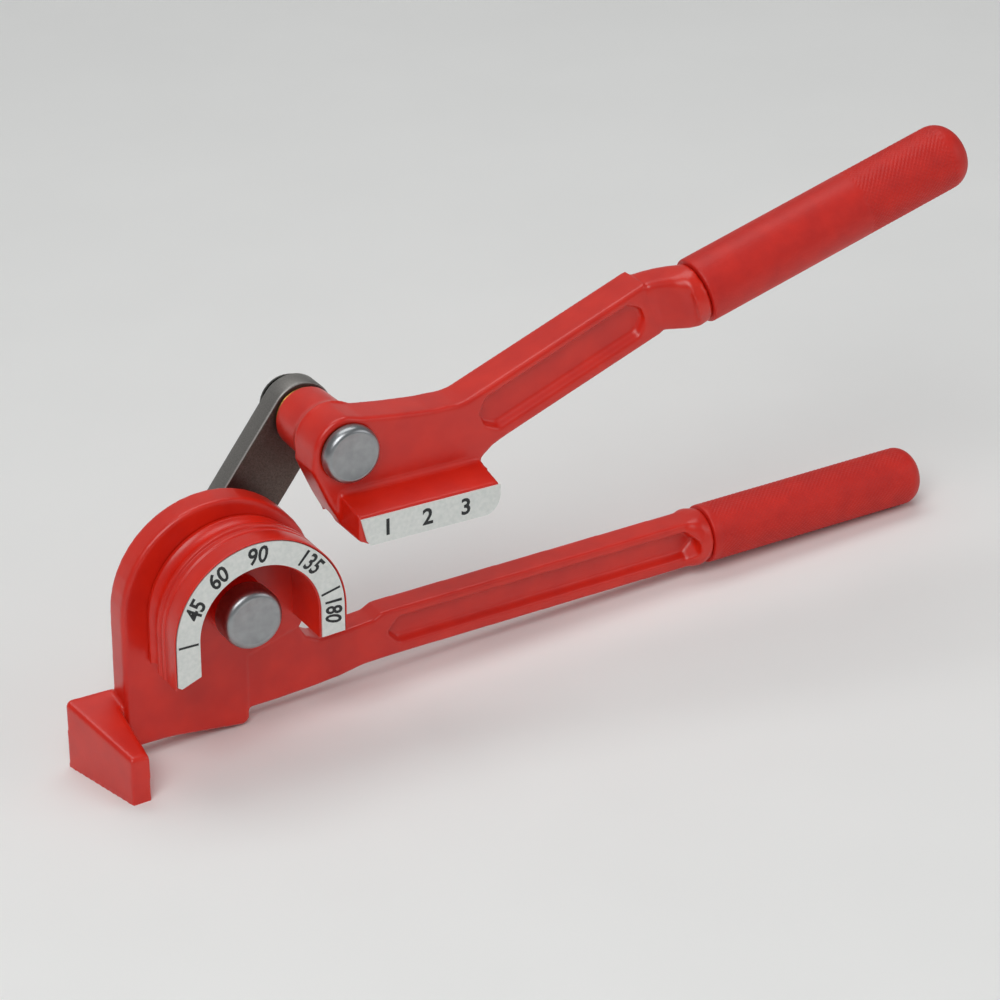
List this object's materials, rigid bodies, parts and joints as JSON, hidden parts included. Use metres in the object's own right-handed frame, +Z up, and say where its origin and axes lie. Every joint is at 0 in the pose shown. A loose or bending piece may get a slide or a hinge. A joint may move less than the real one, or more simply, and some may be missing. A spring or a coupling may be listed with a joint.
{
  "type": "tube bender",
  "caption": "Lever bender for small tube: red cast handles with knurled grips, a grooved horseshoe die with a degree scale, and a steel link between the two pivots",
  "frame": {"origin": "centre of the bounding box's bottom, on the bench that the tool stands on", "axes": "+X runs from the foot along the lower handle to the grips, +Y goes from the front of the tool with the scales to its back with the link, +Z is up"},
  "size_m": [0.2712, 0.0498, 0.1252],
  "materials": {
    "red_coat": "satin red coat on a casting",
    "red_grip": "red moulded grip with a knurled surface",
    "steel": "satin turned steel",
    "dark_steel": "dark rolled steel",
    "bronze": "plain bearing bronze",
    "white_plate": "white printed plate"
  },
  "bodies": {
    "lower_body": {"bending_die": "red_coat", "degree_scale": "white_plate", "die_dowel_left": "steel", "die_dowel_top": "steel", "die_screw_left": "steel", "die_screw_right": "steel", "lower_grip": "red_grip", "lower_handle": "red_coat", "main_back_washer": "steel", "main_bush": "bronze", "main_pin": "steel", "main_retaining_ring": "dark_steel", "main_thrust_washer": "bronze", "main_wave_washer": "dark_steel"},
    "link_body": {"link_lower_bush": "bronze", "link_plate": "dark_steel", "link_upper_bush": "bronze", "upper_back_washer": "steel", "upper_pin": "steel", "upper_retaining_ring": "dark_steel", "upper_wave_washer": "dark_steel"},
    "handle_body": {"handle_back_bush": "bronze", "handle_front_bush": "bronze", "shoe_scale": "white_plate", "upper_grip": "red_grip", "upper_handle": "red_coat", "upper_thrust_washer": "bronze"}
  },
  "joints": [
    {"name": "link_swing", "type": "hinge", "parent": "lower_body", "child": "link_body", "pos_m": [-0.08884, -0.02007, 0.04057], "axis": [0, 1, 0], "range_deg": [-126, 53]},
    {"name": "handle_swing", "type": "hinge", "parent": "link_body", "child": "handle_body", "pos_m": [-0.05678, -0.02007, 0.07945], "axis": [0, 1, 0], "range_deg": [-100, 45]}
  ]
}
